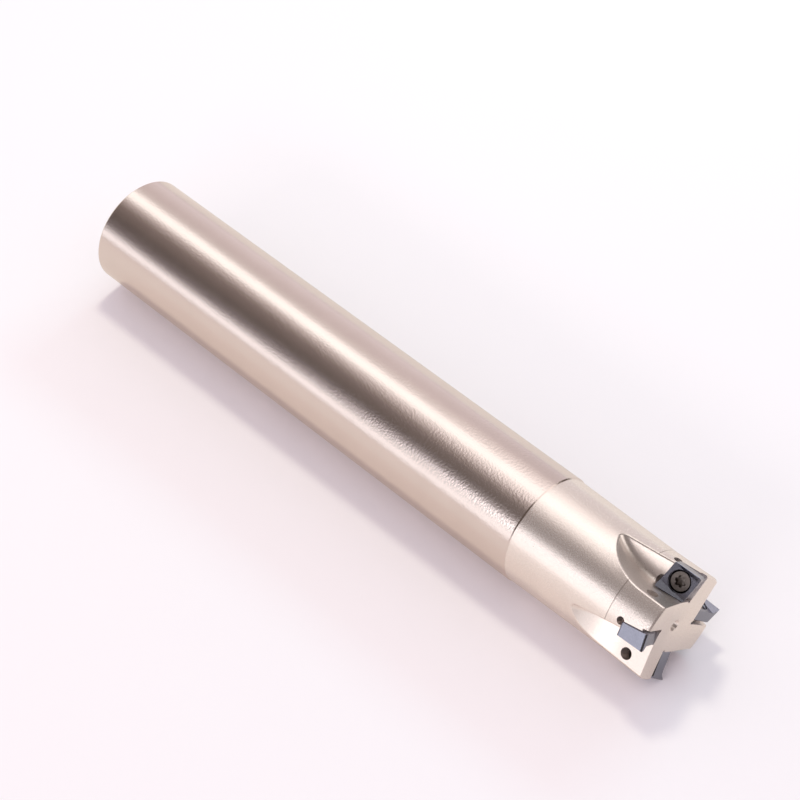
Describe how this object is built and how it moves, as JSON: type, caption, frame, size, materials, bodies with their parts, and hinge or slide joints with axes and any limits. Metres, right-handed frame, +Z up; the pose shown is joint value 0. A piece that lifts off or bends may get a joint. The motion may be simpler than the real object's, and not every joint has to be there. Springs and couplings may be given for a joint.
{
  "type": "indexable shoulder mill",
  "caption": "Cylindrical-shank indexable milling cutter with screwed-on carbide inserts round a gulleted head, for facing and square shoulders.",
  "frame": {"origin": "centre of the flat rear face of the shank, on the tool's axis", "axes": "+X along the tool's axis towards the cutting end, +Z up as the tool lies on its side, -Y towards the viewer; it cuts turning by the right-hand rule about +X"},
  "size_m": [0.1619, 0.025, 0.025],
  "materials": {
    "body_steel": "nickel-plated alloy steel: shank ground to a satin, head matte",
    "coated_carbide": "dark blue-grey vapour-deposited coating on carbide, satin",
    "screw_steel": "hardened steel, blackened"
  },
  "bodies": {
    "cutter": {"cutter_body": "body_steel"},
    "insert_1": {"insert_1": "coated_carbide"},
    "screw_1": {"insert_screw_1": "screw_steel"},
    "insert_2": {"insert_2": "coated_carbide"},
    "screw_2": {"insert_screw_2": "screw_steel"},
    "insert_3": {"insert_3": "coated_carbide"},
    "screw_3": {"insert_screw_3": "screw_steel"},
    "insert_4": {"insert_4": "coated_carbide"},
    "screw_4": {"insert_screw_4": "screw_steel"}
  },
  "joints": [
    {"name": "insert_1_lift", "type": "slide", "parent": "cutter", "child": "insert_1", "axis": [0.1736, -0.7432, 0.6461], "range_m": [0, 0.004]},
    {"name": "screw_1_turn", "type": "hinge", "parent": "insert_1", "child": "screw_1", "pos_m": [0.1576, 0.00469, 0.0078], "axis": [0.1736, -0.7432, 0.6461], "range_deg": [0, 2880]},
    {"name": "insert_2_lift", "type": "slide", "parent": "cutter", "child": "insert_2", "axis": [0.1736, -0.6461, -0.7432], "range_m": [0, 0.004]},
    {"name": "screw_2_turn", "type": "hinge", "parent": "insert_2", "child": "screw_2", "pos_m": [0.1576, -0.0078, 0.00469], "axis": [0.1736, -0.6461, -0.7432], "range_deg": [0, 2880]},
    {"name": "insert_3_lift", "type": "slide", "parent": "cutter", "child": "insert_3", "axis": [0.1736, 0.7432, -0.6461], "range_m": [0, 0.004]},
    {"name": "screw_3_turn", "type": "hinge", "parent": "insert_3", "child": "screw_3", "pos_m": [0.1576, -0.00469, -0.0078], "axis": [0.1736, 0.7432, -0.6461], "range_deg": [0, 2880]},
    {"name": "insert_4_lift", "type": "slide", "parent": "cutter", "child": "insert_4", "axis": [0.1736, 0.6461, 0.7432], "range_m": [0, 0.004]},
    {"name": "screw_4_turn", "type": "hinge", "parent": "insert_4", "child": "screw_4", "pos_m": [0.1576, 0.0078, -0.00469], "axis": [0.1736, 0.6461, 0.7432], "range_deg": [0, 2880]}
  ],
  "couplings": [
    {"joint": "screw_1_turn", "follows": "insert_1_lift", "rad_per_m": 12566},
    {"joint": "screw_2_turn", "follows": "insert_2_lift", "rad_per_m": 12566},
    {"joint": "screw_3_turn", "follows": "insert_3_lift", "rad_per_m": 12566},
    {"joint": "screw_4_turn", "follows": "insert_4_lift", "rad_per_m": 12566}
  ]
}
